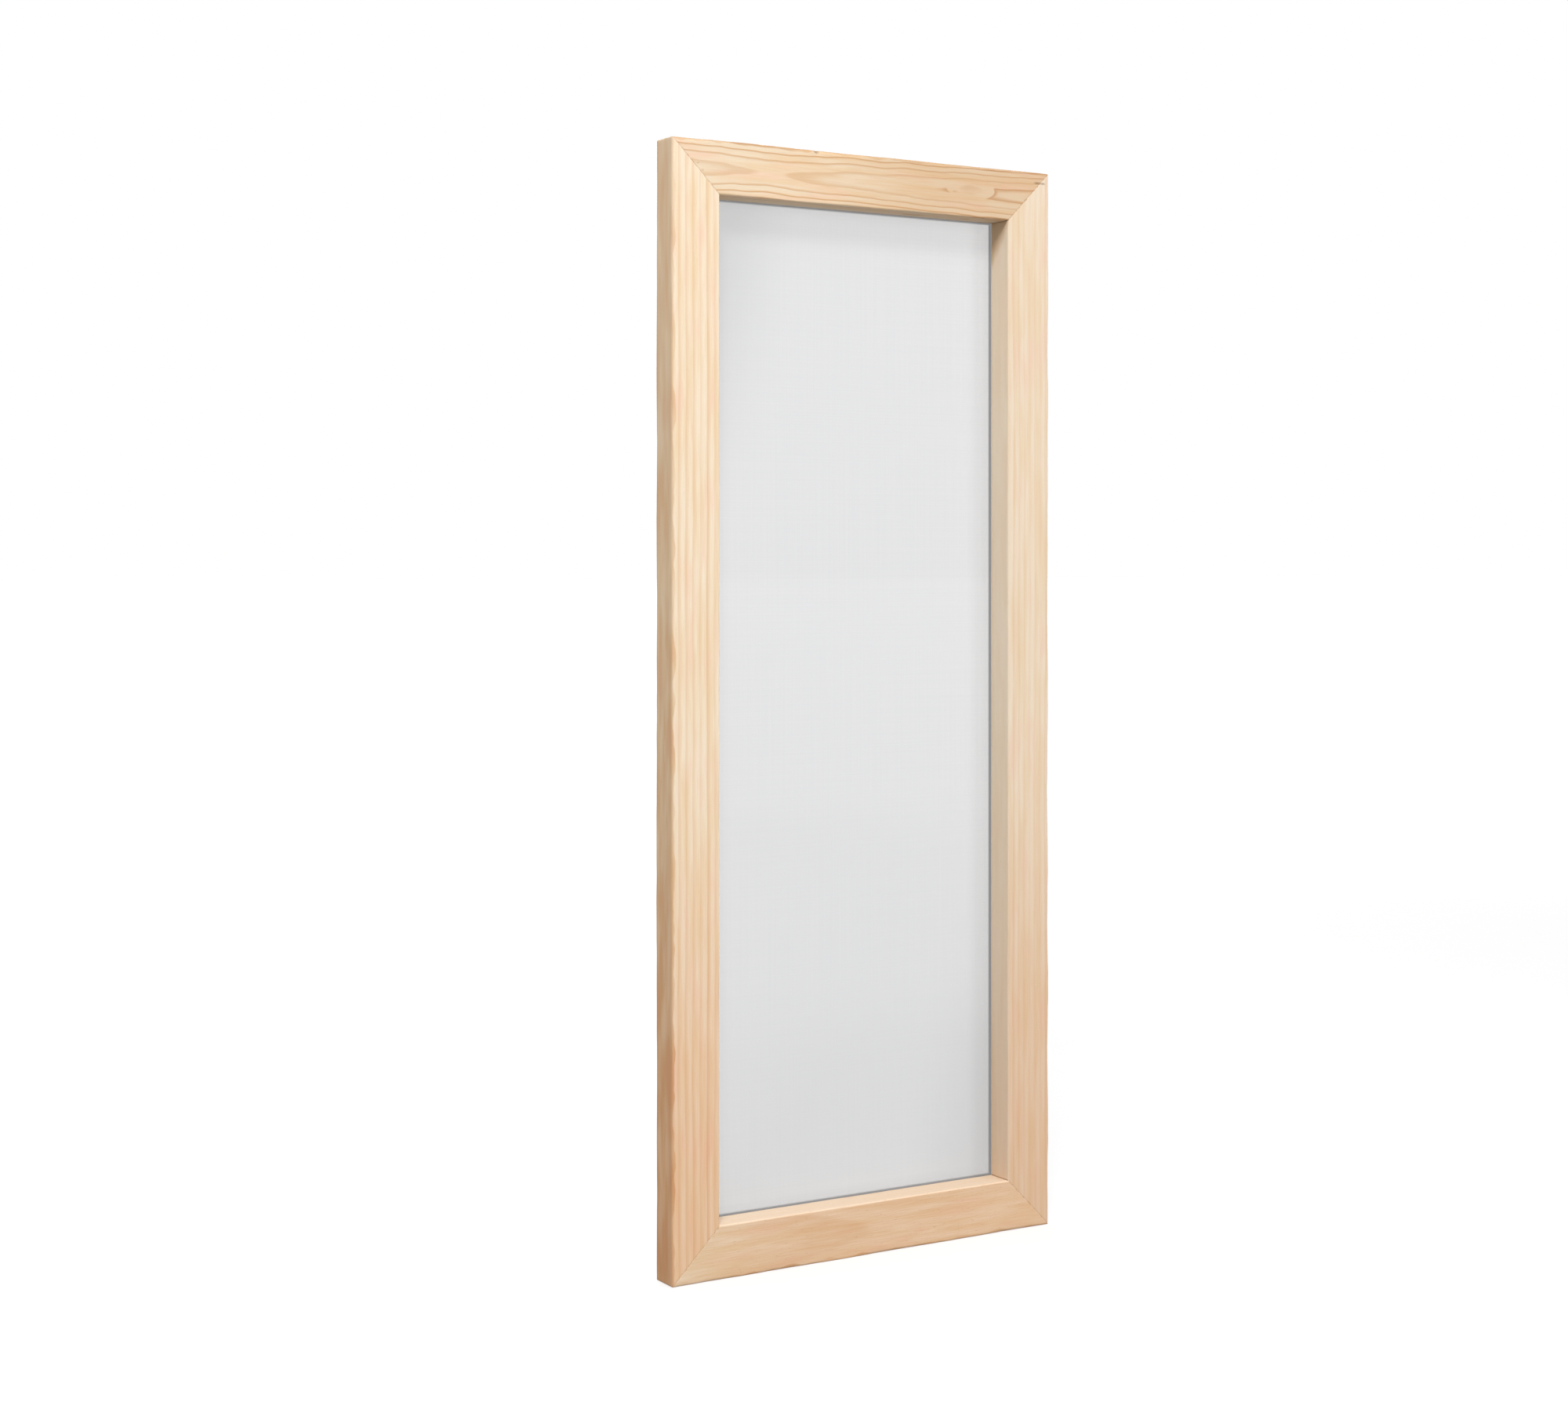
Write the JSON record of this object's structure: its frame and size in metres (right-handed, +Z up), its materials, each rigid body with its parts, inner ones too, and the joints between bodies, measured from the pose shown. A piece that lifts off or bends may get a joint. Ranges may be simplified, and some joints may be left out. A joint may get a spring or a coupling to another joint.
{
  "type": "screen printing frame",
  "caption": "Tall wooden screen printing frame: mitred pine battens with eased edges and a fine polyester mesh stretched, stapled and taped over the back.",
  "frame": {"origin": "at the bottom, in the middle of the width and of the whole depth", "axes": "+X across the width, +Y from the open front to the print side at the back, +Z up along the stiles"},
  "size_m": [0.343, 0.0262, 0.84],
  "materials": {
    "pine": "planed, unvarnished",
    "beech": "pressed",
    "fastener_steel": "bright rolled",
    "adhesive": "dried, thin and glossy",
    "polyester_mesh": "plain monofilament weave",
    "cotton_tape": "unbleached twill",
    "staple_wire": "zinc plated"
  },
  "bodies": {
    "root": {"left_stile": "pine", "right_stile": "pine", "top_rail": "pine", "bottom_rail": "pine", "mitre_biscuit_top_left": "beech", "mitre_biscuit_top_right": "beech", "mitre_biscuit_bottom_left": "beech", "mitre_biscuit_bottom_right": "beech", "corrugated_fasteners_top_left": "fastener_steel", "corrugated_fasteners_top_right": "fastener_steel", "corrugated_fasteners_bottom_left": "fastener_steel", "corrugated_fasteners_bottom_right": "fastener_steel", "adhesive_left": "adhesive", "adhesive_right": "adhesive", "adhesive_top": "adhesive", "adhesive_bottom": "adhesive", "screen_mesh": "polyester_mesh", "tape_left": "cotton_tape", "tape_right": "cotton_tape", "tape_top": "cotton_tape", "tape_bottom": "cotton_tape", "staples_left": "staple_wire", "staples_right": "staple_wire", "staples_top": "staple_wire", "staples_bottom": "staple_wire"}
  },
  "joints": []
}
